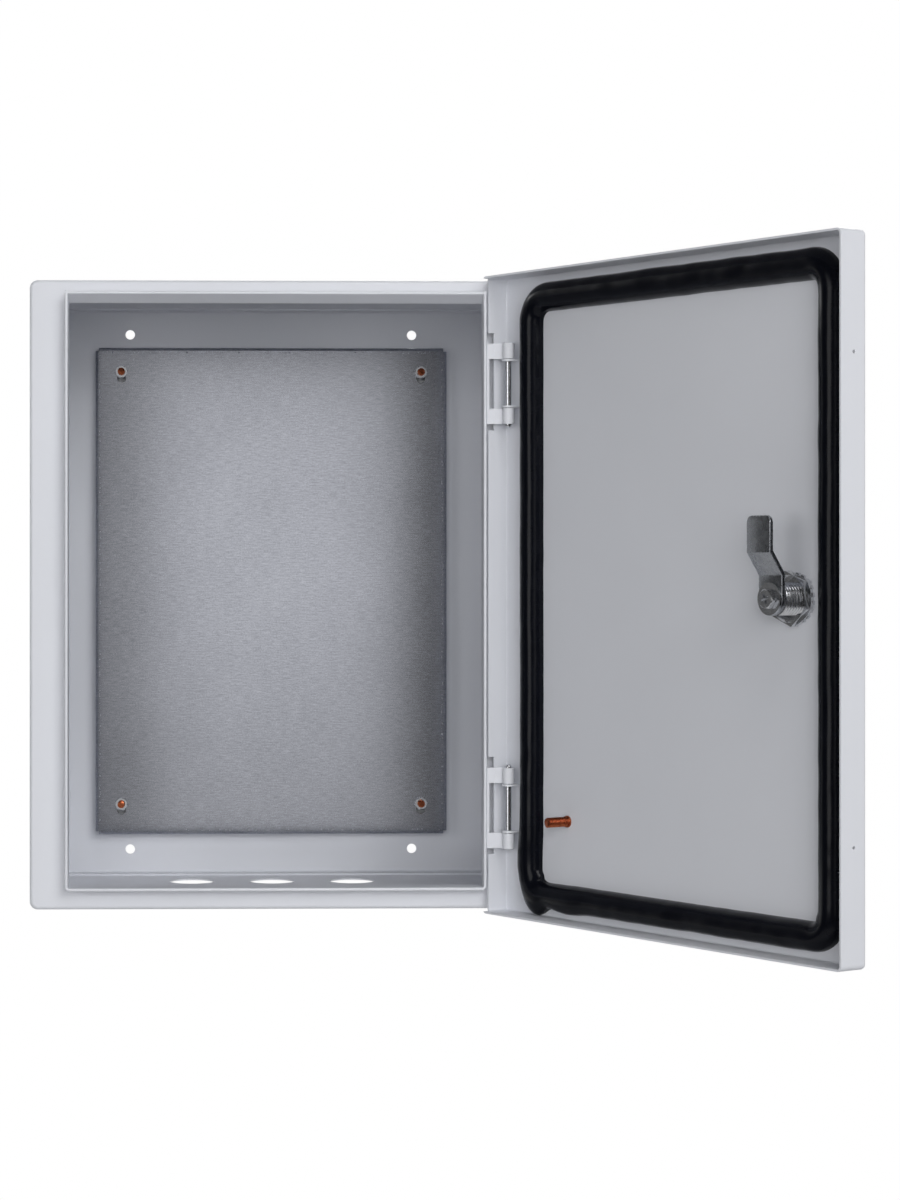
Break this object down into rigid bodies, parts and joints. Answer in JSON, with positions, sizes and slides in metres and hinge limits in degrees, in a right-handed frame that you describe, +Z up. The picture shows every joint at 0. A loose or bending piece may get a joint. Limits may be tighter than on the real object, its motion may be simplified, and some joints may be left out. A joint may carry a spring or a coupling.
{
  "type": "steel wall enclosure",
  "caption": "Wall-mounted sheet-steel enclosure with a hinged door, foam gasket, quarter-turn cam lock, cable entries in the floor and a galvanised mounting plate.",
  "frame": {"origin": "centre of the wall-bolt pattern, on the back outer face", "axes": "+X to the right seen from the front, +Y from the door towards the wall, +Z up"},
  "size_m": [0.4633, 0.471, 0.395],
  "materials": {
    "painted_steel": "light grey textured powder coat",
    "galvanised_steel": "hot-dip galvanised sheet with fine spangle",
    "copper_plated": "copper-plated steel",
    "zinc_plated": "bright zinc plate",
    "chromed_zinc": "chromed zinc die casting",
    "foam": "black foamed-in-place polyurethane",
    "seal_rubber": "black rubber"
  },
  "bodies": {
    "enclosure": {"body_shell": "painted_steel", "back_panel": "painted_steel", "mounting_plate": "galvanised_steel", "plate_studs": "copper_plated", "plate_nuts": "zinc_plated", "hinge_leaf_upper": "painted_steel", "hinge_leaf_lower": "painted_steel", "hinge_pin_upper": "zinc_plated", "hinge_pin_lower": "zinc_plated"},
    "door": {"door_panel": "painted_steel", "door_gasket": "foam", "door_earth_stud": "copper_plated", "hinge_bracket_upper": "painted_steel", "hinge_bracket_lower": "painted_steel", "lock_housing": "chromed_zinc", "lock_seal": "seal_rubber", "lock_washer": "zinc_plated", "lock_nut": "chromed_zinc"},
    "lock_rotor": {"lock_plug": "chromed_zinc", "lock_cam": "zinc_plated", "lock_cam_washer": "zinc_plated", "lock_cam_screw": "zinc_plated"}
  },
  "joints": [
    {"name": "door_swing", "type": "hinge", "parent": "enclosure", "child": "door", "pos_m": [0.144, -0.2126, 0], "axis": [0, 0, 1], "range_deg": [-122.5, 1.5]},
    {"name": "lock_turn", "type": "hinge", "parent": "door", "child": "lock_rotor", "pos_m": [0.28295, -0.41694, 0], "axis": [0.8434, 0.5373, 0], "range_deg": [0, 90]}
  ]
}
